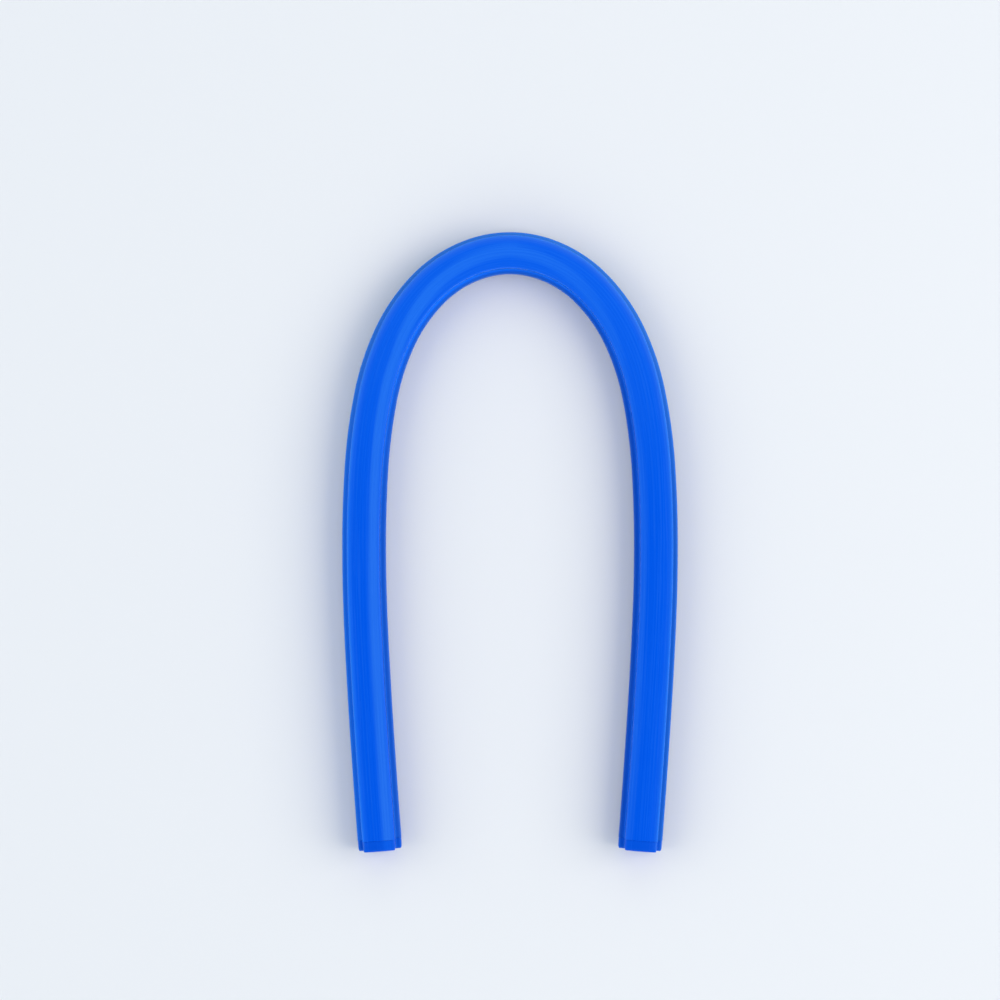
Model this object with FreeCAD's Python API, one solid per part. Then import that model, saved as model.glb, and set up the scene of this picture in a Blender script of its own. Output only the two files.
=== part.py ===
"""Flexible curve: a bendable drawing curve lying flat, bent into a tall arch.

A blue PVC jacket with a ruling edge down each side holds a soft lead bar
between two spring-steel strips, and a plug closes each end.  The real jacket,
bar and strips run unbroken from end to end and can be bent anywhere.  Here they
are cut into links that turn about upright hinge axes, and at rest every link is
the arc that its stretch of the curve follows.

Millimetres and degrees.  +Z is up, the legs of the arch point to -Y, and the
origin is under the middle of the whole outline.  Headings are measured
clockwise from +X.  Stations are counted from the crown outwards.
"""
import FreeCAD, Part
import math
import os

V = FreeCAD.Vector

# Chain of links, from the crown to one tip; the other side is its mirror image.
CROWN_PITCH = 13.5                  # length of a link where the bend is tight
LEG_PITCH = 17.125                  # length of a link along a leg
TIGHT_LINKS = 3                     # side links that have the crown's pitch
CROWN_TURN = 33.0                   # bend of the middle link
SIDE_TURNS = (28.5, 20.0, 13.5, 8.0, 3.5, 2.5, 1.0, 0.5, 0.5)
BUTT_GAP = 0.1                      # between the jackets of neighbouring links
KNUCKLE_SWING = 46.0                # clear swing of one bar link on the next

# Section of the jacket.
HEIGHT = 8.5
BODY_HALF = 3.65                    # half width of the raised middle
EDGE_HALF = 4.93                    # half width over the ruling edges where straight
EDGE_PULL_IN = 5.6                  # a bend of radius r draws each edge in by this over r
EDGE_BOTTOM = 1.2                   # the edges stand clear of the paper's ink
EDGE_TOP = 4.0
TOP_DROP = 0.3                      # of the crowned top, from its middle to its rounded corners
TOP_RADIUS = 0.45
BASE_RADIUS = 0.4
EDGE_RADIUS = 0.45
ROOT_RADIUS = 0.25
CHANNEL_HALF = 2.2
CHANNEL_HEIGHT = 5.6
CHANNEL_FLOOR = 1.5
CHANNEL_RADIUS = 0.15

# Lead bar and steel strips that lie in the channel.
BAR_HALF = 1.8
BAR_HEIGHT = 5.4
KNUCKLE_GAP = 0.05                  # between a bar's round end and its socket
STRIP_THICKNESS = 0.3
STRIP_GAP = 0.05                    # between the bar and a strip
STRIP_CUTBACK = 1.2                 # from a hinge axis to the end of a strip

# End plugs.
PLUG_HEAD = 2.4
PLUG_STEM = 6.0
PLUG_FIT = 0.05                     # all round the stem in the channel

UP = V(0, 0, 1)
BAR_FLOOR = CHANNEL_FLOOR + (CHANNEL_HEIGHT - BAR_HEIGHT) / 2
BAR_END = PLUG_HEAD + PLUG_STEM + 0.2       # from the tip to the end of the bar


def tangent(heading):
    """Unit vector along a heading."""
    angle = math.radians(heading)
    return V(math.cos(angle), -math.sin(angle), 0)


def outward(heading):
    """Unit vector square to a heading, away from the inside of the arch."""
    angle = math.radians(heading)
    return V(math.sin(angle), math.cos(angle), 0)


class Link:
    """One arc of the centreline, from its inboard station to its outboard one."""

    def __init__(self, point, heading, length, turn):
        self.start = point
        self.heading = heading
        self.length = length
        self.turn = turn
        self.radius = length / math.radians(turn)
        self.centre = point - outward(heading) * self.radius
        self.edge_half = EDGE_HALF - EDGE_PULL_IN / self.radius

    def heading_at(self, distance):
        """Heading of the centreline at a distance from the inboard station."""
        return self.heading + math.degrees(distance / self.radius)

    def point_at(self, distance, offset=0.0):
        """Point at a distance along the arc and an offset to its outer side."""
        heading = self.heading_at(distance)
        return self.centre + outward(heading) * (self.radius + offset)

    def next_link(self, length, turn):
        """Link that carries on from the outboard station."""
        return Link(self.point_at(self.length), self.heading_at(self.length), length, turn)

    def sweep(self, face, first, last):
        """Solid swept by a section from one distance along the arc to another."""
        placed = face.copy()
        placed.rotate(V(), UP, -self.heading_at(first))
        placed.translate(self.point_at(first))
        return placed.revolve(self.centre, -UP, math.degrees((last - first) / self.radius))


def rounded_wire(corners):
    """Closed wire across the curve through corners (offset, height, radius)."""
    joins = []
    for index, (offset, height, radius) in enumerate(corners):
        corner = V(0, offset, height)
        last_corner = corners[index - 1]
        next_corner = corners[(index + 1) % len(corners)]
        to_last = (V(0, last_corner[0], last_corner[1]) - corner).normalize()
        to_next = (V(0, next_corner[0], next_corner[1]) - corner).normalize()
        half_angle = to_last.getAngle(to_next) / 2
        reach = radius / math.tan(half_angle)
        depth = radius / math.sin(half_angle) - radius
        middle = corner + (to_last + to_next).normalize() * depth
        joins.append((corner + to_last * reach, middle, corner + to_next * reach))
    edges = []
    for index, (arc_start, middle, arc_end) in enumerate(joins):
        edges.append(Part.makeLine(joins[index - 1][2], arc_start))
        edges.append(Part.Arc(arc_start, middle, arc_end).toShape())
    return Part.Wire(edges)


def box_wire(half_width, height, floor, radius):
    """Closed rounded rectangle across the curve."""
    top = floor + height
    return rounded_wire([
        (half_width, floor, radius),
        (half_width, top, radius),
        (-half_width, top, radius),
        (-half_width, floor, radius),
    ])


def top_corners():
    """Corner at one side of the crowned top, and the wide one in its middle."""
    half_width = BODY_HALF - TOP_RADIUS
    radius = (half_width ** 2 + TOP_DROP ** 2) / (2 * TOP_DROP)
    slope = half_width / (radius - TOP_DROP)
    side = (BODY_HALF, HEIGHT - TOP_DROP - TOP_RADIUS * slope, TOP_RADIUS)
    middle = (0, HEIGHT - TOP_DROP + half_width * slope, radius)
    return side, middle


def outer_wire(edge_half):
    """Outline of the jacket's section: a raised middle between two ruling edges."""
    top_side, top_middle = top_corners()
    half = [
        (BODY_HALF, 0, BASE_RADIUS),
        (BODY_HALF, EDGE_BOTTOM, ROOT_RADIUS),
        (edge_half, EDGE_BOTTOM, EDGE_RADIUS),
        (edge_half, EDGE_TOP, EDGE_RADIUS),
        (BODY_HALF, EDGE_TOP, ROOT_RADIUS),
        top_side,
    ]
    other_half = [(-offset, height, radius) for offset, height, radius in reversed(half)]
    return rounded_wire([*half, top_middle, *other_half])


def jacket(link, end_trim):
    """Hollow length of the jacket."""
    channel = box_wire(CHANNEL_HALF, CHANNEL_HEIGHT, CHANNEL_FLOOR, CHANNEL_RADIUS)
    first = BUTT_GAP / 2
    last = link.length - end_trim
    tube = link.sweep(Part.Face(outer_wire(link.edge_half)), first, last)
    return tube.cut(link.sweep(Part.Face(channel), first, last))


def round_end(link, distance, direction):
    """Edge of a bar's half-round end, centred on the hinge axis."""
    outer = link.point_at(distance, BAR_HALF)
    inner = link.point_at(distance, -BAR_HALF)
    nose = link.point_at(distance) + tangent(link.heading_at(distance)) * BAR_HALF * direction
    return [Part.Arc(outer, nose, inner).toShape()]


def square_end(link, distance):
    """Edge of a bar's plain end."""
    return [Part.makeLine(link.point_at(distance, BAR_HALF), link.point_at(distance, -BAR_HALF))]


def socket_end(link):
    """Edges of a bar's hollow end, cut back so that the next bar can swing in it."""
    radius = BAR_HALF + KNUCKLE_GAP
    flank = socket_flank()
    mouth = math.radians(90 - KNUCKLE_SWING)
    ahead = tangent(link.heading)
    aside = outward(link.heading)
    lip_out = link.start + ahead * radius * math.cos(mouth) + aside * radius * math.sin(mouth)
    lip_in = link.start + ahead * radius * math.cos(mouth) - aside * radius * math.sin(mouth)
    return [
        Part.makeLine(link.point_at(flank, BAR_HALF), lip_out),
        Part.Arc(lip_out, link.start + ahead * radius, lip_in).toShape(),
        Part.makeLine(lip_in, link.point_at(flank, -BAR_HALF)),
    ]


def socket_flank():
    """Distance from the hinge axis at which a socketed bar has its full width."""
    return (BAR_HALF + KNUCKLE_GAP) * math.tan(math.radians(KNUCKLE_SWING))


def bar(link, first, first_end, last, last_end):
    """Length of the lead bar between two ends, as an upright plate."""
    middle = (first + last) / 2
    edges = list(first_end) + list(last_end)
    for side in (BAR_HALF, -BAR_HALF):
        flank = Part.Arc(link.point_at(first, side), link.point_at(middle, side), link.point_at(last, side))
        edges.append(flank.toShape())
    outline = Part.Wire(Part.__sortEdges__(edges))
    solid = Part.Face(outline).extrude(UP * BAR_HEIGHT)
    solid.translate(UP * BAR_FLOOR)
    return solid


def crown_bar(link):
    """Middle length of the lead bar, round at both ends."""
    ends = round_end(link, 0, -1), round_end(link, link.length, 1)
    return bar(link, 0, ends[0], link.length, ends[1])


def side_bar(link, is_last):
    """Length of the lead bar in one side link."""
    if is_last:
        last = link.length - BAR_END
        return bar(link, socket_flank(), socket_end(link), last, square_end(link, last))
    return bar(link, socket_flank(), socket_end(link), link.length, round_end(link, link.length, 1))


def strips(link, end_trim):
    """The two spring-steel strips, one each side of the bar."""
    solids = []
    for side in (1, -1):
        near = BAR_HALF + STRIP_GAP
        middle = side * (near + STRIP_THICKNESS / 2)
        low = V(0, middle - STRIP_THICKNESS / 2, BAR_FLOOR)
        across = V(0, STRIP_THICKNESS, 0)
        corners = [low, low + across, low + across + UP * BAR_HEIGHT, low + UP * BAR_HEIGHT, low]
        section = Part.Face(Part.makePolygon(corners))
        solids.append(link.sweep(section, STRIP_CUTBACK, link.length - end_trim))
    return Part.makeCompound(solids)


def end_plug(link):
    """Plug in the tip: a head with the jacket's outline, on a stem in the channel."""
    shoulder = link.length - PLUG_HEAD
    head = link.sweep(Part.Face(outer_wire(link.edge_half)), shoulder, link.length)
    stem_wire = box_wire(
        CHANNEL_HALF - PLUG_FIT,
        CHANNEL_HEIGHT - 2 * PLUG_FIT,
        CHANNEL_FLOOR + PLUG_FIT,
        CHANNEL_RADIUS,
    )
    stem = link.sweep(Part.Face(stem_wire), shoulder - PLUG_STEM, shoulder)
    return head.fuse(stem).removeSplitter()


def side_links(crown):
    """Links of the right side, from the crown to the tip."""
    links = []
    last_link = crown
    for index, turn in enumerate(SIDE_TURNS):
        pitch = CROWN_PITCH if index < TIGHT_LINKS else LEG_PITCH
        last_link = last_link.next_link(pitch, turn)
        links.append(last_link)
    return links


def crown_link():
    """Middle link, centred on the top of the arch at (0, 0)."""
    radius = CROWN_PITCH / math.radians(CROWN_TURN)
    heading = -CROWN_TURN / 2
    start = V(0, -radius, 0) + outward(heading) * radius
    return Link(start, heading, CROWN_PITCH, CROWN_TURN)


def outline_middle(crown, last_link):
    """Half way between the top of the crown and the lowest corner of a tip."""
    top = crown.edge_half
    bottom = last_link.point_at(last_link.length, last_link.edge_half).y
    return (top + bottom) / 2


def build():
    """All nodes and all hinge axes by name, already moved to the origin."""
    crown = crown_link()
    links = side_links(crown)
    nodes = {
        "jacket_crown": jacket(crown, BUTT_GAP / 2),
        "lead_core_crown": crown_bar(crown),
        "spring_strips_crown": strips(crown, STRIP_CUTBACK),
    }
    hinges = {}
    for number, link in enumerate(links, start=1):
        is_last = number == len(links)
        pieces = {
            f"jacket_SIDE_{number}": jacket(link, PLUG_HEAD if is_last else BUTT_GAP / 2),
            f"lead_core_SIDE_{number}": side_bar(link, is_last),
            f"spring_strips_SIDE_{number}": strips(link, BAR_END if is_last else STRIP_CUTBACK),
        }
        if is_last:
            pieces["end_plug_SIDE"] = end_plug(link)
        for name, shape in pieces.items():
            nodes[name.replace("SIDE", "right")] = shape
            nodes[name.replace("SIDE", "left")] = shape.mirror(V(), V(1, 0, 0))
        hinges[f"right_bend_{number}"] = link.start
        hinges[f"left_bend_{number}"] = V(-link.start.x, link.start.y, 0)
    to_origin = V(0, -outline_middle(crown, links[-1]), 0)
    for shape in nodes.values():
        shape.translate(to_origin)
    return nodes, {name: axis + to_origin for name, axis in hinges.items()}


def main():
    os.makedirs("parts", exist_ok=True)
    nodes, hinges = build()
    for name, shape in sorted(nodes.items()):
        if not shape.isValid():
            raise ValueError(name + " is not a valid shape")
        shape.exportStep("parts/" + name + ".step")
    for name, axis in sorted(hinges.items()):
        print(f"{name} {axis.x:.4f} {axis.y:.4f}")
    print("nodes", len(nodes))
    for kind in ("jacket", "lead_core", "spring_strips", "end_plug"):
        volume = sum(shape.Volume for name, shape in nodes.items() if name.startswith(kind))
        print(f"{kind} volume {volume:.1f} mm3")


main()
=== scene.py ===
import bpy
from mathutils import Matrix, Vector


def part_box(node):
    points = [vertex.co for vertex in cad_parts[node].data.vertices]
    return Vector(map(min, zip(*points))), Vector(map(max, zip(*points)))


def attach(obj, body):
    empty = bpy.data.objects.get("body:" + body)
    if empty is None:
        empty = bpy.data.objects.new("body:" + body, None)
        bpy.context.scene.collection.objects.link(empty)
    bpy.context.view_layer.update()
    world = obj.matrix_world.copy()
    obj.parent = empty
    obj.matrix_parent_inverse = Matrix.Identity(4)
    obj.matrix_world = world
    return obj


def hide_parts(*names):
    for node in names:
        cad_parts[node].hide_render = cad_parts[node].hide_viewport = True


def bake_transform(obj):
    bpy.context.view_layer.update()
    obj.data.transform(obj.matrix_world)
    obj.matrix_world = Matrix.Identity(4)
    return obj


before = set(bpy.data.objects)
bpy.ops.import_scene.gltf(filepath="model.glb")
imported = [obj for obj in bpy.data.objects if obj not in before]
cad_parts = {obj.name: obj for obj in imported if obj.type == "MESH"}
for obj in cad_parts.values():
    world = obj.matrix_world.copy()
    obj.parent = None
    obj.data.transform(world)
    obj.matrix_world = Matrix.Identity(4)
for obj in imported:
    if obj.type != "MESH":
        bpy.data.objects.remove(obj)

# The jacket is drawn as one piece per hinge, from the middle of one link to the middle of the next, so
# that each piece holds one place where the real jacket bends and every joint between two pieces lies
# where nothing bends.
"""Looks of the flexible curve: its PVC jacket, its end plugs, and the metal inside.

The jacket is drawn as one piece per hinge, from the middle of one link to the
middle of the next, so that each piece bends where the real jacket bends and
every joint between two pieces lies where nothing bends.

Lengths are in millimetres up to the point where a mesh is made.  Stations are
distances along the centreline from the crown, positive on the right side.
"""
import math
import bmesh
import bpy
import numpy as np
from mathutils import Vector

MM = 0.001
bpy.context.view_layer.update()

# Chain of links, as in the frame: each is an arc of the centreline.
CROWN_PITCH = 13.5
LEG_PITCH = 17.125
TIGHT_LINKS = 3
CROWN_TURN = 33.0
SIDE_TURNS = (28.5, 20.0, 13.5, 8.0, 3.5, 2.5, 1.0, 0.5, 0.5)
SIDES = {"left": -1, "right": 1}
LAST_LINK = len(SIDE_TURNS)

# Section of the jacket.
HEIGHT = 8.5
BODY_HALF = 3.65                    # half width of the raised middle
EDGE_HALF = 4.93                    # half width over the ruling edges where straight
EDGE_PULL_IN = 5.6                  # a bend of radius r draws each edge in by this over r
EDGE_BOTTOM = 1.2
EDGE_TOP = 4.0
EDGE_FALL = 0.12                    # the edges' upper faces fall by this towards their rims
TOP_DROP = 0.3                      # of the crowned top, from its middle to its rounded corners
TOP_RADIUS = 0.45
BASE_RADIUS = 0.4
EDGE_RADIUS = 0.45
ROOT_RADIUS = 0.25
CHANNEL_HALF = 2.2
CHANNEL_HEIGHT = 5.6
CHANNEL_FLOOR = 1.5
CHANNEL_RADIUS = 0.15

# Lines that the die leaves along the top: waves across it, which only ever cut in.
DIE_DEPTH = 0.011                   # of a wave of strength one
DIE_MEAN = 2.0                      # mean cut, over the strengths of all waves together
DIE_WAVES = ((1.0, 5.3, 0.0), (0.6, 9.1, 1.3))      # strength, radians per millimetre, phase

# End plugs.
PLUG_HEAD = 2.4
PLUG_STEM = 6.0
PLUG_INSET = 0.06                   # the head is this much smaller than the jacket all round
PLUG_ROUND = 0.8                    # depth of the rounding of the head's face
ROUND_NARROWS = 1 / 3               # of that depth, how far the rounding narrows the head
HEAD_GAP = 0.03                     # between the head and the jacket's end
BARBS = 3
BARB_HEIGHT = 0.22
BARB_FIT = 0.06                     # between a barb's tip and the channel
BARBS_START = 0.3                   # depth of the first barb
BARB_RISE = 0.1                     # from a barb's foot to its tip
BARB_SLOPE = 0.8                    # of a barb's pitch, where it has sloped back to its foot
NOSE_LENGTH = 1.0                   # of the stem, beyond the barbs
NOSE_START = 0.5                    # the nose tapers from here to NOSE_END short of the stem's end
NOSE_END = 0.1
NOSE_TAPER = 2.2                    # depth of the tapered nose in barb heights

# Meshes.
ARC_STEPS = 6                       # least steps round an arc of a section
RUN_STEP = 0.6                      # length of a step along a straight run of a section
TOP_STEP = 0.2                      # length of a step along the crowned top
CHANNEL_STEPS = 4
SEAM = 0.02                         # of a step: where distances round an outline start again
TIGHT_STEP = 0.7                    # between the rings of a length round the crown
LEG_STEP = 1.1                      # and along a leg
SHARP_ANGLE = math.radians(38)
BEND_SHARE = 0.7                    # of the room between its end faces, what a bend takes up
STILL_END = 2.0                     # the smoothing of a bend fades out over this much of each end
SMOOTH_FACTOR = 0.7                 # strength of one round of smoothing
SMOOTH_SHARE = 0.34                 # how far the smoothing spreads a bend, as a share of its length

# Noise in the plastic: cells per millimetre along the strip and round its section.
BAND_CELLS = (0.012, 0.42, 0)
STREAK_CELLS = (0.03, 2.6, 0)
GRAIN_CELLS = (1.6, 1.9, 0)
CLOUD_CELLS = (0.11, 0.16, 0)
SCUFF_CELLS = (0.22, 7.5, 0)

# Painted sheen: a lighter band along the top that stands in for a soft reflection, and wanders from
# its middle to its inner side.
SHEEN_TURNS = (0.0, 38.0)          # stations over which it wanders, on both sides
SHEEN_MIDDLE = (-0.4, 2.1)         # its middle before and after, towards the inside of the arch
SHEEN_RIGHT = (0.0, 40.0)          # stations over which it goes further in on the right
SHEEN_FURTHER = 1.3                # by this
SHEEN_NARROWS = 1.3                # it is this many times narrower on the legs
SHEEN_FADE = (1.6, 2.9)            # it fades between these distances from its middle
SHEEN_RAGGED = 1.6                 # how far the bands shift its edges
SHEEN_WEAKENS = (-25.0, 30.0)      # stations over which it weakens to the right
SHEEN_WEAK = 0.42

# Parts of the section: distances round it from the middle of the top, over which one gives way to
# the next.  They are positive towards the inside of the arch.
SHOULDER = (-3.9, -1.8)
OUTER_ROOT = (-7.8, -7.5)
OUTER_RIM = (-9.3, -8.0)
INNER_WALL = (3.5, 3.8)
INNER_ROOT = (7.2, 7.5)
INNER_LIP = (7.9, 8.6)
INNER_PARTS = ("wall", "inner", "lip")

# Stations over which a leg's tones, which carry painted light and shade, give way to the crown's and
# the other leg's.
LEFT_FADE = (-75.0, -25.0)
RIGHT_FADE = (25.0, 75.0)
INNER_AHEAD = 20.0                  # the inner side takes the right leg's tones this much sooner

# Lights and view, in metres and watts.
SOFTBOX_SIZE = 1.0
SOFTBOX_COLOUR = (1.0, 0.965, 0.925)
SOFTBOXES = {
    "light_top": ((0.05, 0.92, 0.80), 1.1),
    "light_left": ((-0.92, 0.1, 0.80), 4.0),
    "light_right": ((0.92, 0.0, 0.80), 8.0),
    "light_front": ((0.0, -0.92, 0.80), 1.7),
}
SKY_COLOUR = (0.70, 0.865, 1.0, 1)
SKY_FADE = {"From Min": 0.55, "From Max": 0.96, "To Min": 1.03, "To Max": 0.01}
FLOOR_SIZE = 6.0
FLOOR_DROP = 0.01                   # in millimetres, so that the base doesn't lie in the floor

# Camera, in millimetres.
LENS = 120.0
SENSOR = 36.0
FIELD = 224.6                       # width of the view at the ruling edges
VIEW_LEFT = 2.25                    # the view's centre lies this far left of the arch's middle
VIEW_BELOW_TOP = 60.2               # and this far below the top of the crown


class Centreline:
    """Chain of tangent arcs, the same on both sides of the crown."""

    def __init__(self):
        leg_links = LAST_LINK - TIGHT_LINKS
        pitches = [CROWN_PITCH / 2] + [CROWN_PITCH] * TIGHT_LINKS + [LEG_PITCH] * leg_links
        turns = [CROWN_TURN / 2, *SIDE_TURNS]
        self.bounds = np.concatenate([[0], np.cumsum(pitches)])
        self.headings = np.radians(np.concatenate([[0], np.cumsum(turns)]))
        self.curvatures = np.diff(self.headings) / np.array(pitches)
        crown_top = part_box("jacket_crown")[1].y / MM
        points = [np.array([0.0, crown_top - self.edge_half(0.0)])]
        for link, pitch in enumerate(pitches):
            points.append(self.arc_point(link, points[-1], pitch))
        self.points = np.array(points)

    def arc_point(self, link, start, distance):
        """Point on a link's arc at a distance from its inboard end."""
        heading = self.headings[link]
        radius = 1 / self.curvatures[link]
        centre = start - radius * outward(heading)
        return centre + radius * outward(heading + distance * self.curvatures[link])

    def place(self, station):
        """Point and outward direction at a station."""
        distance = abs(station)
        link = min(int(np.searchsorted(self.bounds, distance, side="right")) - 1, LAST_LINK)
        along = distance - self.bounds[link]
        point = self.arc_point(link, self.points[link], along)
        out = outward(self.headings[link] + along * self.curvatures[link])
        if station < 0:
            return point * (-1, 1), out * (-1, 1)
        return point, out

    def edge_half(self, station):
        """Half width over the ruling edges, which a bend draws in."""
        middles = np.concatenate([[0], (self.bounds[1:-1] + self.bounds[2:]) / 2])
        curvature = np.interp(abs(station), middles, self.curvatures)
        return EDGE_HALF - EDGE_PULL_IN * curvature

    def middle(self, link):
        """Station of a link's middle; link 0 is the crown."""
        return 0.0 if link == 0 else (self.bounds[link] + self.bounds[link + 1]) / 2


def outward(heading):
    """Unit vector square to a heading, away from the inside of the arch."""
    return np.array([math.sin(heading), math.cos(heading)])


def corner_joins(corners):
    """Centre, first and last point of the arc at each (offset, height, radius) corner."""
    joins = []
    for index, (offset, height, radius) in enumerate(corners):
        corner = np.array([offset, height])
        to_last = unit(np.array(corners[index - 1][:2]) - corner)
        to_next = unit(np.array(corners[(index + 1) % len(corners)][:2]) - corner)
        half_angle = math.acos(np.clip(to_last @ to_next, -1, 1)) / 2
        centre = corner + unit(to_last + to_next) * radius / math.sin(half_angle)
        reach = radius / math.tan(half_angle)
        joins.append((centre, corner + to_last * reach, corner + to_next * reach))
    return joins


def loop_steps(corners):
    """Steps to draw the straight run to each corner, and its arc."""
    joins = corner_joins(corners)
    steps = []
    for index, (_, first, last) in enumerate(joins):
        run = np.linalg.norm(first - joins[index - 1][2])
        chord = np.linalg.norm(last - first)
        steps.append((max(2, round(run / RUN_STEP)), max(ARC_STEPS, round(chord / TOP_STEP))))
    return steps


def rounded_loop(corners, steps):
    """Points round a closed outline, in the steps given for each corner."""
    joins = corner_joins(corners)
    points = []
    for index, (centre, first, last) in enumerate(joins):
        before = joins[index - 1][2]
        run_steps, arc_steps = steps[index]
        stops = [SEAM, *range(1, run_steps)] if index == 0 else range(1, run_steps)
        points += [before + (first - before) * stop / run_steps for stop in stops]
        points += arc_points(centre, first, last, arc_steps)
    return np.array(points)


def arc_points(centre, first, last, steps):
    """Points on the short arc from first to last, both included."""
    start = math.atan2(*(first - centre)[::-1])
    sweep = math.atan2(*(last - centre)[::-1]) - start
    sweep = (sweep + math.pi) % (2 * math.pi) - math.pi
    radius = np.linalg.norm(first - centre)
    angles = start + sweep * np.linspace(0, 1, steps + 1)
    return list(centre + radius * np.stack([np.cos(angles), np.sin(angles)], axis=1))


def unit(vector):
    """A vector's direction."""
    return vector / np.linalg.norm(vector)


def top_corners(inset):
    """Corner at one side of the crowned top, and the wide one in its middle."""
    half_width = BODY_HALF - TOP_RADIUS - inset
    radius = (half_width ** 2 + TOP_DROP ** 2) / (2 * TOP_DROP)
    slope = half_width / (radius - TOP_DROP)
    edge = HEIGHT - TOP_DROP - inset
    side = (BODY_HALF - inset, edge - TOP_RADIUS * slope, TOP_RADIUS)
    middle = (0, edge + half_width * slope, radius)
    return side, middle


def section_corners(edge_half, inset=0.0):
    """Corners of the jacket's outline, or of one that much smaller all round."""
    top_side, top_middle = top_corners(inset)
    half = [
        (BODY_HALF - inset, inset, BASE_RADIUS),
        (BODY_HALF - inset, EDGE_BOTTOM + inset, ROOT_RADIUS),
        (edge_half - inset, EDGE_BOTTOM + inset, EDGE_RADIUS),
        (edge_half - inset, EDGE_TOP - EDGE_FALL - inset, EDGE_RADIUS),
        (BODY_HALF - inset, EDGE_TOP - inset, ROOT_RADIUS),
        top_side,
    ]
    other_half = [(-offset, height, radius) for offset, height, radius in reversed(half)]
    return [*half, top_middle, *other_half]


def section(edge_half, inset=0.0):
    """Outline of the jacket, with as many points for every size."""
    return rounded_loop(section_corners(edge_half, inset), loop_steps(section_corners(EDGE_HALF)))


def die_lines(points):
    """The section with the lines that the die leaves along its top."""
    offsets = points[:, 0]
    inside = np.clip(1 - (offsets / (BODY_HALF - TOP_RADIUS)) ** 2, 0, 1)
    waves = [strength * np.cos(offsets * rate + phase) for strength, rate, phase in DIE_WAVES]
    lines = DIE_MEAN + sum(waves)
    drop = np.where(points[:, 1] > HEIGHT / 2, inside * DIE_DEPTH * lines, 0)
    return points - np.stack([np.zeros(len(points)), drop], axis=1)


def channel_loop(inset=0.0):
    """Outline of the channel, or of something that much smaller all round."""
    half_width = CHANNEL_HALF - inset
    floor = CHANNEL_FLOOR + inset
    top = CHANNEL_FLOOR + CHANNEL_HEIGHT - inset
    corners = [
        (half_width, floor, CHANNEL_RADIUS),
        (half_width, top, CHANNEL_RADIUS),
        (-half_width, top, CHANNEL_RADIUS),
        (-half_width, floor, CHANNEL_RADIUS),
    ]
    return rounded_loop(corners, [(CHANNEL_STEPS, ARC_STEPS)] * len(corners))


def run_lengths(loop):
    """Distance round an outline at each of its points, from its highest one."""
    steps = np.linalg.norm(np.diff(loop, axis=0), axis=1)
    lengths = np.concatenate([[0], np.cumsum(steps)])
    return lengths - lengths[np.argmax(loop[:, 1])]


def convexity(loop):
    """From 0 on flats and in hollows to 1 on the tight convex edges of an outline."""
    ahead = np.roll(loop, -1, axis=0) - loop
    behind = loop - np.roll(loop, 1, axis=0)
    turn = behind[:, 0] * ahead[:, 1] - behind[:, 1] * ahead[:, 0]
    lengths = np.linalg.norm(ahead, axis=1) * np.linalg.norm(behind, axis=1)
    reach = (np.linalg.norm(ahead, axis=1) + np.linalg.norm(behind, axis=1)) / 2
    return np.clip(np.arcsin(np.clip(turn / lengths, -1, 1)) / reach * EDGE_RADIUS, 0, 1)


def in_space(curve, station, loop):
    """A section's points in space, in metres."""
    point, out = curve.place(station)
    flat = point + loop[:, :1] * out
    return np.column_stack([flat, loop[:, 1]]) * MM


class Shell:
    """Mesh under construction: rings of points joined into skins, and flat ends."""

    def __init__(self):
        self.mesh = bmesh.new()
        self.lay = self.mesh.verts.layers.float_vector.new("lay")

    def ring(self, curve, station, loop, lengths, plain=False):
        """Closed ring of vertices that remember where they lie and how sharp it is there.

        A plain ring remembers only its station, for the rim of a face without streaks, edge rubbing or
        painted edge highlight.
        """
        places = in_space(curve, station, loop)
        edges = convexity(loop)
        if plain:
            lengths = edges = np.zeros(len(loop))
        ring = []
        for place, length, edge in zip(places, lengths, edges):
            vertex = self.mesh.verts.new(place)
            vertex[self.lay] = (station, length, edge)
            ring.append(vertex)
        return ring

    def skin(self, rings):
        """Smooth faces between each ring and the next."""
        for low, high in zip(rings, rings[1:]):
            for index in range(len(low)):
                near = index - 1
                face = self.mesh.faces.new((low[near], low[index], high[index], high[near]))
                face.smooth = True

    def cap(self, *rings):
        """Flat faces that fill a ring, or the space between two."""
        edges = [
            self.mesh.edges.get((ring[index - 1], ring[index]))
            for ring in rings
            for index in range(len(ring))
        ]
        bmesh.ops.triangle_fill(self.mesh, edges=edges, use_beauty=True)
        for edge in edges:
            edge.smooth = False

    def finish(self, name, material):
        """The object, with sharp edges where two faces meet at more than SHARP_ANGLE."""
        bmesh.ops.recalc_face_normals(self.mesh, faces=self.mesh.faces)
        for edge in self.mesh.edges:
            if edge.is_manifold and edge.calc_face_angle() > SHARP_ANGLE:
                edge.smooth = False
        data = bpy.data.meshes.new(name)
        self.mesh.to_mesh(data)
        self.mesh.free()
        data.materials.append(material)
        piece = bpy.data.objects.new(name, data)
        bpy.context.scene.collection.objects.link(piece)
        return piece


def ring_stations(curve, first, last):
    """Where a length's rings stand, closer together round the crown."""
    step = TIGHT_STEP if min(abs(first), abs(last)) < curve.bounds[TIGHT_LINKS + 1] else LEG_STEP
    return np.linspace(first, last, math.ceil(abs(last - first) / step) + 1)


def jacket_length(curve, name, first, last, material):
    """Closed length of the hollow jacket between two stations."""
    shell = Shell()
    outside = []
    inside = []
    lengths = run_lengths(section(EDGE_HALF))
    bore = channel_loop()
    for station in ring_stations(curve, first, last):
        loop = die_lines(section(curve.edge_half(station)))
        outside.append(shell.ring(curve, station, loop, lengths))
        inside.append(shell.ring(curve, station, bore, run_lengths(bore)))
    shell.skin(outside)
    shell.skin(inside)
    shell.cap(outside[0], inside[0])
    shell.cap(outside[-1], inside[-1])
    return shell.finish(name, material)


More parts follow.
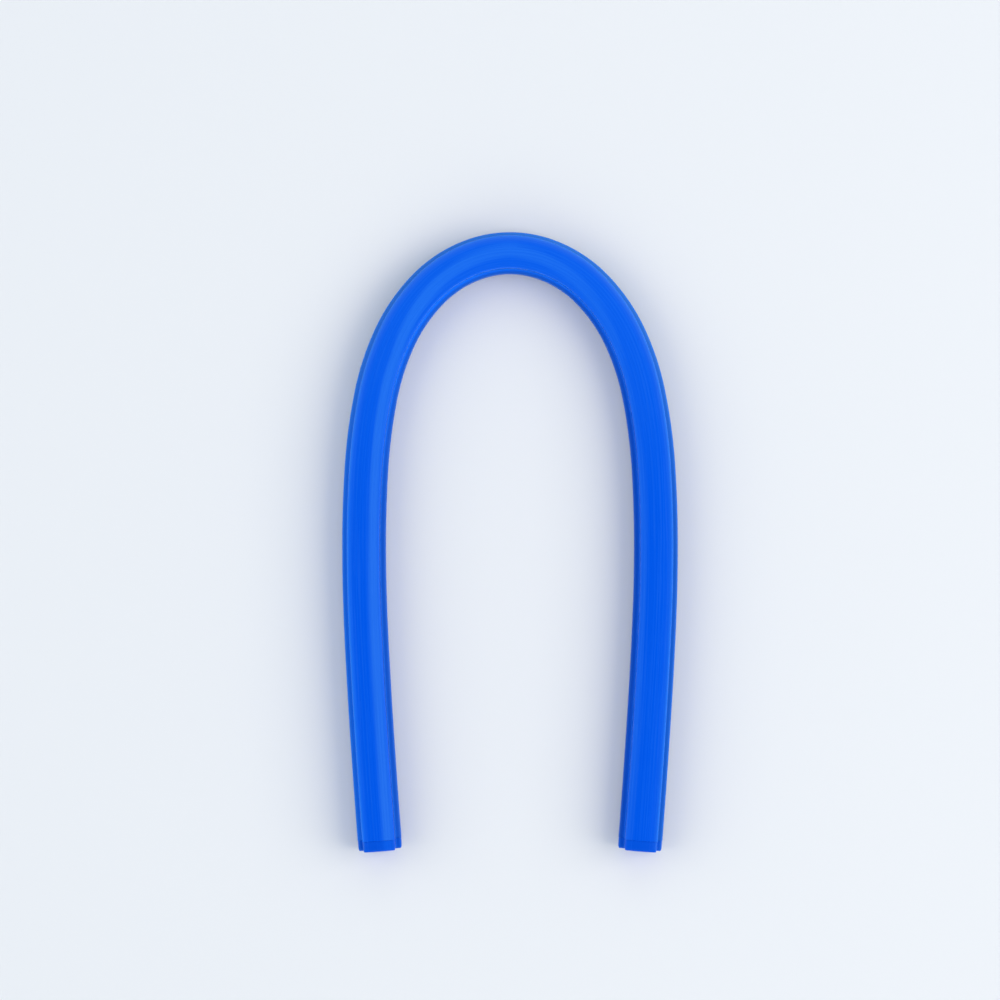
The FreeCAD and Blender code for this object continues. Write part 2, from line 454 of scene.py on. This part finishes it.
def bend_planes(curve, first, hinge, last):
    """Where a length starts and stops bending: evenly about its hinge, clear of both its end faces."""
    start, start_out = curve.place(first)
    end, end_out = curve.place(last)
    middle, _ = curve.place(hinge)
    along = unit(end - start)
    before = (middle - start) @ along - EDGE_HALF * abs(start_out @ along)
    after = (end - middle) @ along - EDGE_HALF * abs(end_out @ along)
    reach = along * min(before, after) * BEND_SHARE
    return Vector((*(middle - reach), 0)) * MM, Vector((*(middle + reach), 0)) * MM


def round_bend(piece, first, last, rings):
    """Spreads a bend's turn evenly along it. The rest shape and both ends stay as they are."""
    middle = piece.vertex_groups.new(name="middle")
    for index, point in enumerate(piece.data.attributes["lay"].data):
        inside = min(abs(point.vector.x - first), abs(last - point.vector.x))
        share = min(1.0, inside / STILL_END)
        middle.add([index], share * share * (3 - 2 * share), "REPLACE")
    smooth = piece.modifiers.new("round_bend", "CORRECTIVE_SMOOTH")
    smooth.vertex_group = middle.name
    smooth.rest_source = "BIND"
    smooth.factor = SMOOTH_FACTOR
    smooth.iterations = round(2 * (SMOOTH_SHARE * rings) ** 2 / SMOOTH_FACTOR)
    smooth.use_only_smooth = True       # until it is bound, which keeps Blender from warning
    bpy.context.view_layer.objects.active = piece
    bpy.ops.object.correctivesmooth_bind(modifier=smooth.name)
    smooth.use_only_smooth = False


def build_jacket(curve, material):
    """A length about every hinge, smoothed for when it is bent, and a plain length at each tip."""
    for side, sign in SIDES.items():
        for number in range(1, LAST_LINK + 1):
            first = sign * curve.middle(number - 1)
            last = sign * curve.middle(number)
            inner = "crown" if number == 1 else f"{side}_{number - 1}"
            outer = f"{side}_{number}"
            piece = jacket_length(curve, f"jacket_bend_{outer}", first, last, material)
            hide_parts(f"jacket_{inner}", f"jacket_{outer}")
            start, end = bend_planes(curve, first, sign * curve.bounds[number], last)
            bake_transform(piece)
            round_bend(piece, first, last, len(ring_stations(curve, first, last)))
        first = sign * curve.middle(LAST_LINK)
        shoulder = sign * (curve.bounds[-1] - PLUG_HEAD)
        tail = jacket_length(curve, f"jacket_tail_{side}", first, shoulder, material)
        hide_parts(f"jacket_{side}_{LAST_LINK}")
        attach(tail, f"{side}_{LAST_LINK}")


def head_outline(tip):
    """(station, inset from the jacket) of the plug head's rings, from its back to its face."""
    shoulder = tip - PLUG_HEAD
    outline = [
        (shoulder + HEAD_GAP, PLUG_INSET + HEAD_GAP),
        (shoulder + 2 * HEAD_GAP, PLUG_INSET),
    ]
    for step in range(ARC_STEPS + 1):
        angle = math.radians(90) * step / ARC_STEPS
        narrowing = PLUG_ROUND * (1 - math.cos(angle)) * ROUND_NARROWS
        outline.append((tip - PLUG_ROUND * (1 - math.sin(angle)), PLUG_INSET + narrowing))
    return outline


def stem_outline():
    """(depth, inset from the channel) down the stem: a row of barbs, then a blunt nose."""
    pitch = (PLUG_STEM - NOSE_LENGTH) / BARBS
    foot = BARB_FIT + BARB_HEIGHT
    outline = [(0.0, foot)]
    for barb in range(BARBS):
        top = BARBS_START + barb * pitch
        outline.append((top, foot))
        outline.append((top + BARB_RISE, BARB_FIT))
        outline.append((top + pitch * BARB_SLOPE, foot))
    outline.append((PLUG_STEM - NOSE_START, foot))
    outline.append((PLUG_STEM - NOSE_END, BARB_FIT + BARB_HEIGHT * NOSE_TAPER))
    return outline


def plug_head(shell, curve, sign):
    """Rings of a plug's head, whose last one is the plain rim of its face."""
    tip = curve.bounds[-1]
    edge_half = curve.edge_half(tip)
    lengths = run_lengths(section(edge_half))
    outline = head_outline(tip)
    rings = []
    for number, (station, inset) in enumerate(outline, start=1):
        loop = section(edge_half, inset)
        plain = number == len(outline)
        rings.append(shell.ring(curve, sign * station, loop, lengths, plain))
    shell.skin(rings)
    return rings


def plug_stem(shell, curve, sign):
    """Rings of a plug's stem, from its head down the channel."""
    start = curve.bounds[-1] - PLUG_HEAD + HEAD_GAP
    rings = []
    for depth, inset in stem_outline():
        loop = channel_loop(inset)
        rings.append(shell.ring(curve, sign * (start - depth), loop, run_lengths(loop)))
    shell.skin(rings)
    return rings


def build_plugs(curve, material):
    """A moulded plug in each tip, with a barbed stem in the channel."""
    for side, sign in SIDES.items():
        shell = Shell()
        head = plug_head(shell, curve, sign)
        stem = plug_stem(shell, curve, sign)
        shell.cap(head[0], stem[0])
        shell.cap(stem[-1])
        shell.cap(head[-1])
        piece = shell.finish(f"end_plug_moulded_{side}", material)
        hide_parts(f"end_plug_{side}")
        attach(piece, f"{side}_{LAST_LINK}")


class Graph:
    """A material's nodes, added one by one."""

    def __init__(self, name):
        self.material = bpy.data.materials.new(name)
        self.material.use_nodes = True
        self.tree = self.material.node_tree
        self.shader = self.tree.nodes["Principled BSDF"]

    def add(self, kind, inputs=None, **settings):
        """New node, with its inputs linked to sockets or set to values."""
        node = self.tree.nodes.new(kind)
        for setting, value in settings.items():
            setattr(node, setting, value)
        self.feed(node, inputs or {})
        return node

    def feed(self, node, inputs):
        """Links or sets a node's inputs."""
        for socket, value in inputs.items():
            if isinstance(value, bpy.types.NodeSocket):
                self.tree.links.new(value, node.inputs[socket])
            else:
                node.inputs[socket].default_value = value

    def stretched(self, vector, scale):
        """A vector scaled along each axis."""
        node = self.add("ShaderNodeVectorMath", {0: vector, 1: scale}, operation="MULTIPLY")
        return node.outputs["Vector"]

    def noise(self, vector, detail=2.0, roughness=0.5):
        """Noise with cells about one unit wide."""
        inputs = {"Vector": vector, "Scale": 1.0, "Detail": detail, "Roughness": roughness}
        return self.add("ShaderNodeTexNoise", inputs).outputs["Fac"]

    def remap(self, value, low, high, to_low, to_high):
        """A value's range moved to another, and clamped there."""
        inputs = {0: value, 1: low, 2: high, 3: to_low, 4: to_high}
        return self.add("ShaderNodeMapRange", inputs).outputs["Result"]

    def rise(self, value, low, high):
        """From 0 at one value to 1 at another."""
        return self.remap(value, low, high, 0.0, 1.0)

    def math(self, operation, first, second=0.0):
        """One arithmetic step."""
        return self.add("ShaderNodeMath", {0: first, 1: second}, operation=operation).outputs["Value"]

    def mix(self, factor, first, second):
        """Colour between two others."""
        node = self.add("ShaderNodeMix", {0: factor, 6: first, 7: second}, data_type="RGBA")
        return node.outputs[2]

    def spread(self, station, left, crown, right):
        """Colour that changes from each leg to the crown, where the three colours differ by painted
        light and shade.
        """
        colour = self.mix(self.rise(station, *LEFT_FADE), (*left, 1), (*crown, 1))
        return self.mix(self.rise(station, *RIGHT_FADE), colour, (*right, 1))

    def bump(self, height, strength, distance):
        """Normal for a height in distances of so many metres."""
        inputs = {"Height": height, "Strength": strength, "Distance": distance}
        return self.add("ShaderNodeBump", inputs).outputs["Normal"]


def painted_sheen(graph, station, across, bands):
    """How much of the painted sheen shows: a lighter band along the top that stands in for a soft
    reflection.
    """
    away = graph.math("ABSOLUTE", station)
    middle = graph.remap(away, *SHEEN_TURNS, *SHEEN_MIDDLE)
    middle = graph.math("ADD", middle, graph.remap(station, *SHEEN_RIGHT, 0.0, SHEEN_FURTHER))
    aside = graph.math("ABSOLUTE", graph.math("SUBTRACT", across, middle))
    aside = graph.math("MULTIPLY", aside, graph.remap(away, *SHEEN_TURNS, 1.0, SHEEN_NARROWS))
    aside = graph.math("ADD", aside, graph.math("MULTIPLY", bands, SHEEN_RAGGED))
    pale = graph.remap(aside, *SHEEN_FADE, 1.0, 0.0)
    return graph.math("MULTIPLY", pale, graph.remap(station, *SHEEN_WEAKENS, 1.0, SHEEN_WEAK))


def plastic_colour(graph, tones, station, across, tone):
    """Colour before scuffs and edges: each part of the section in its tone, with light and shade
    painted in.  Tone runs from dark to light.
    """
    along = graph.remap(station, 0.0, INNER_AHEAD, 0.0, INNER_AHEAD)
    ahead = graph.math("ADD", station, along)
    at = {
        part: graph.spread(ahead if part in INNER_PARTS else station, *colours)
        for part, colours in tones.items()
    }
    # Painted highlight on the outer corner of the top, painted shade on the inner wall, and painted
    # light and shade on both ruling edges.
    shoulder = graph.remap(across, *SHOULDER, 1.0, 0.0)
    shoulder = graph.math("MULTIPLY", shoulder, shoulder)
    body = graph.mix(shoulder, graph.mix(tone, at["dark"], at["light"]), at["shoulder"])
    outer = graph.mix(graph.rise(across, *OUTER_RIM), at["rim"], at["root"])
    inner = graph.mix(graph.rise(across, *INNER_LIP), at["inner"], at["lip"])
    colour = graph.mix(graph.rise(across, *OUTER_ROOT), outer, body)
    colour = graph.mix(graph.rise(across, *INNER_WALL), colour, at["wall"])
    return graph.mix(graph.rise(across, *INNER_ROOT), colour, inner)


def pvc(name, tones, wear_and_highlight_colour):
    """Extruded soft PVC: die streaks along its length, fine grain, a painted sheen along the top, and
    convex edges in a lighter blue that is partly rubbing and partly a painted highlight.

    A tone is three colours: at the left leg, the crown and the right leg; where they differ, the blue
    is painted lighter or darker for how the light falls there.  Dark and light are the body's, light
    being where die streaks and the painted sheen lighten it, shoulder its outer corner's, a painted
    highlight, and wall its inner side's, a painted shade.  Root and rim are the outer ruling edge's,
    from the body out, and inner and lip the inner one's, all four painted lighter or darker for how
    the light falls on them.
    """
    graph = Graph(name)
    lay = graph.add("ShaderNodeAttribute", attribute_name="lay").outputs["Vector"]
    apart = graph.add("ShaderNodeSeparateXYZ", {0: lay})
    station, across, edge = (apart.outputs[axis] for axis in "XYZ")
    bands = graph.noise(graph.stretched(lay, BAND_CELLS), detail=1.0)
    streaks = graph.noise(graph.stretched(lay, STREAK_CELLS), detail=3.0, roughness=0.6)
    grain = graph.noise(graph.stretched(lay, GRAIN_CELLS), detail=3.0)
    clouds = graph.noise(graph.stretched(lay, CLOUD_CELLS))
    scuffs = graph.rise(graph.noise(graph.stretched(lay, SCUFF_CELLS), detail=1.0), 0.70, 0.78)
    scuffs = graph.math("MULTIPLY", scuffs, graph.rise(clouds, 0.5, 0.62))

    # Die streaks shade the tone and the painted sheen lightens it.  Scuffs take a lighter blue from
    # abrasion, and convex edges one that is partly rubbing and partly a painted highlight, less on the
    # inner side.
    tone = graph.math("MULTIPLY", graph.remap(streaks, 0.3, 0.7, -1.0, 1.0), 0.22)
    tone = graph.math("ADD", painted_sheen(graph, station, across, bands), tone)
    rubbed_and_highlit = graph.math("MULTIPLY", edge, graph.remap(grain, 0.35, 0.65, 0.25, 0.6))
    rubbed_and_highlit = graph.math("MULTIPLY", rubbed_and_highlit, graph.remap(across, -1.0, 1.0, 1.0, 0.15))
    wear_and_highlight = graph.math("MAXIMUM", rubbed_and_highlit, graph.math("MULTIPLY", scuffs, 0.3))
    colour = plastic_colour(graph, tones, station, across, tone)

    roughness = graph.remap(streaks, 0.3, 0.7, 0.21, 0.28)
    roughness = graph.math("ADD", roughness, graph.remap(clouds, 0.3, 0.7, -0.02, 0.05))
    roughness = graph.math("ADD", roughness, graph.math("MULTIPLY", scuffs, 0.15))
    roughness = graph.math("ADD", roughness, graph.math("MULTIPLY", edge, 0.2))

    height = graph.math("MULTIPLY", streaks, 0.6)
    height = graph.math("ADD", height, graph.math("MULTIPLY", grain, 0.35))
    height = graph.math("SUBTRACT", height, graph.math("MULTIPLY", scuffs, 0.3))
    graph.feed(graph.shader, {
        "Base Color": graph.mix(wear_and_highlight, colour, (*wear_and_highlight_colour, 1)),
        "Roughness": roughness,
        "Normal": graph.bump(height, 0.5, 0.025 * MM),
        "IOR": 1.53,
        "Specular IOR Level": 0.18,
        "Specular Tint": (0.40, 0.85, 1.0, 1),
    })
    return graph.material


def jacket_blue():
    """The extruded jacket's plastic, with light and shade painted into the tones of its parts."""
    tones = {
        # Dark is the body's own blue.  Light is where die streaks and the painted sheen lighten it,
        # shoulder a painted highlight, wall a painted shade, and root, rim, inner and lip are the
        # ruling edges painted lighter or darker for how the light falls on them.  The legs and the
        # crown differ for the same reason.
        "dark": ((0.0003, 0.095, 0.76), (0.0035, 0.114, 0.79), (0.0003, 0.095, 0.76)),
        "light": ((0.018, 0.156, 0.79), (0.014, 0.160, 0.82), (0.018, 0.156, 0.79)),
        "shoulder": ((0.016, 0.185, 0.88), (0.050, 0.180, 0.74), (0.010, 0.136, 0.72)),
        "wall": ((0.000, 0.085, 0.60), (0.000, 0.160, 0.84), (0.000, 0.110, 0.76)),
        "root": ((0.012, 0.175, 0.76), (0.042, 0.225, 0.72), (0.010, 0.138, 0.60)),
        "rim": ((0.030, 0.158, 0.60), (0.052, 0.188, 0.50), (0.033, 0.120, 0.47)),
        "inner": ((0.009, 0.128, 0.65), (0.011, 0.200, 0.91), (0.006, 0.120, 0.67)),
        "lip": ((0.016, 0.122, 0.60), (0.012, 0.125, 0.60), (0.008, 0.090, 0.52)),
    }
    # Lighter blue of scuffs and convex edges: abrasion on the scuffs, on the edges partly rubbing and
    # partly a painted highlight.
    return pvc("blue_pvc", tones, wear_and_highlight_colour=(0.011, 0.195, 0.83))


def plug_blue():
    """The moulded plugs' plastic, darker and of the same tone all round."""
    tones = {
        # Light is where die streaks and the painted sheen lighten the plug, and shoulder the same blue
        # as a painted highlight on the outer corner.
        "dark": (0.001, 0.085, 0.68),
        "light": (0.003, 0.105, 0.74),
        "shoulder": (0.003, 0.105, 0.74),
        "wall": (0.001, 0.085, 0.68),
        "root": (0.004, 0.105, 0.64),
        "rim": (0.010, 0.120, 0.64),
        "inner": (0.004, 0.105, 0.64),
        "lip": (0.004, 0.105, 0.64),
    }
    everywhere = {part: [colour] * 3 for part, colour in tones.items()}
    # Lighter blue of scuffs and edges, on the edges partly a painted highlight.
    return pvc("blue_plug", everywhere, wear_and_highlight_colour=(0.025, 0.16, 0.70))


def lead():
    """Extruded lead: soft dull metal, mottled by its grey oxide."""
    graph = Graph("lead_oxidised")
    place = graph.add("ShaderNodeTexCoord").outputs["Object"]
    mottle = graph.noise(graph.stretched(place, (260, 260, 260)), detail=4.0, roughness=0.62)
    pits = graph.noise(graph.stretched(place, (2100, 2100, 2100)), detail=2.0)
    oxide = graph.rise(mottle, 0.42, 0.62)
    graph.feed(graph.shader, {
        "Base Color": graph.mix(oxide, (0.33, 0.34, 0.36, 1), (0.17, 0.175, 0.19, 1)),
        "Roughness": graph.remap(oxide, 0.0, 1.0, 0.42, 0.68),
        "Normal": graph.bump(graph.math("ADD", mottle, pits), 0.5, 0.02 * MM),
        "Metallic": 0.9,
    })
    return graph.material


def spring_steel():
    """Rolled spring strip: bright, with a faint straw and blue heat tint."""
    graph = Graph("spring_steel_rolled")
    place = graph.add("ShaderNodeTexCoord").outputs["Object"]
    rolled = graph.noise(graph.stretched(place, (90, 90, 5200)), detail=3.0, roughness=0.6)
    tint = graph.rise(graph.noise(graph.stretched(place, (55, 55, 55))), 0.4, 0.62)
    graph.feed(graph.shader, {
        "Base Color": graph.mix(tint, (0.47, 0.45, 0.41, 1), (0.36, 0.40, 0.48, 1)),
        "Roughness": graph.remap(rolled, 0.3, 0.7, 0.20, 0.36),
        "Normal": graph.bump(rolled, 0.3, 0.004 * MM),
        "Metallic": 1.0,
    })
    return graph.material


def finish_metal():
    """Materials of the lead bar and the steel strips, which are the frame's own solids."""
    metals = {"lead_core": lead(), "spring_strips": spring_steel()}
    for node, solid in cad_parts.items():
        for start, metal in metals.items():
            if node.startswith(start):
                for slot in solid.material_slots:
                    slot.material = metal


def build_floor():
    """Pale, matt surface under the curve."""
    graph = Graph("pale_board")
    place = graph.add("ShaderNodeTexCoord").outputs["Object"]
    tooth = graph.noise(graph.stretched(place, (900, 900, 900)), detail=2.0)
    graph.feed(graph.shader, {
        "Base Color": (0.88, 0.855, 0.86, 1),
        "Roughness": 0.8,
        "Specular IOR Level": 0.2,
        "Normal": graph.bump(tooth, 0.15, 0.02 * MM),
    })
    bpy.ops.mesh.primitive_plane_add(size=FLOOR_SIZE, location=(0, 0, -FLOOR_DROP * MM))
    floor = bpy.context.object
    floor.name = "floor"
    floor.data.materials.append(graph.material)


def softbox(name, place, watts):
    """Square area light that faces the middle of the curve."""
    lamp = bpy.data.lights.new(name, "AREA")
    lamp.size = SOFTBOX_SIZE
    lamp.energy = watts
    lamp.color = SOFTBOX_COLOUR
    light = bpy.data.objects.new(name, lamp)
    light.location = place
    light.rotation_euler = (-Vector(place)).to_track_quat("-Z", "Y").to_euler()
    bpy.context.scene.collection.objects.link(light)


def build_sky():
    """Pale light from all round, which fades out overhead."""
    world = bpy.data.worlds.new("studio_sky")
    world.use_nodes = True
    nodes = world.node_tree.nodes
    links = world.node_tree.links
    direction = nodes.new("ShaderNodeTexCoord").outputs["Generated"]
    apart = nodes.new("ShaderNodeSeparateXYZ")
    links.new(direction, apart.inputs[0])
    fade = nodes.new("ShaderNodeMapRange")
    fade.interpolation_type = "SMOOTHSTEP"
    links.new(apart.outputs["Z"], fade.inputs["Value"])
    for socket, value in SKY_FADE.items():
        fade.inputs[socket].default_value = value
    sky = nodes["Background"]
    sky.inputs["Color"].default_value = SKY_COLOUR
    links.new(fade.outputs["Result"], sky.inputs["Strength"])
    bpy.context.scene.world = world


def build_camera():
    """Camera straight above the curve, as the object is usually shown."""
    data = bpy.data.cameras.new("camera")
    data.lens = LENS
    data.sensor_width = SENSOR
    data.clip_start = 0.01
    camera = bpy.data.objects.new("camera", data)
    crown_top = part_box("jacket_crown")[1].y
    height = (LENS / SENSOR * FIELD + EDGE_TOP) * MM
    camera.location = (-VIEW_LEFT * MM, crown_top - VIEW_BELOW_TOP * MM, height)
    bpy.context.scene.collection.objects.link(camera)
    bpy.context.scene.camera = camera
    bpy.context.scene.view_settings.view_transform = "Standard"


def main():
    """The whole object, its floor, its light and its camera."""
    curve = Centreline()
    build_jacket(curve, jacket_blue())
    build_plugs(curve, plug_blue())
    finish_metal()
    build_floor()
    for name, (place, watts) in SOFTBOXES.items():
        softbox(name, place, watts)
    build_sky()
    build_camera()


main()
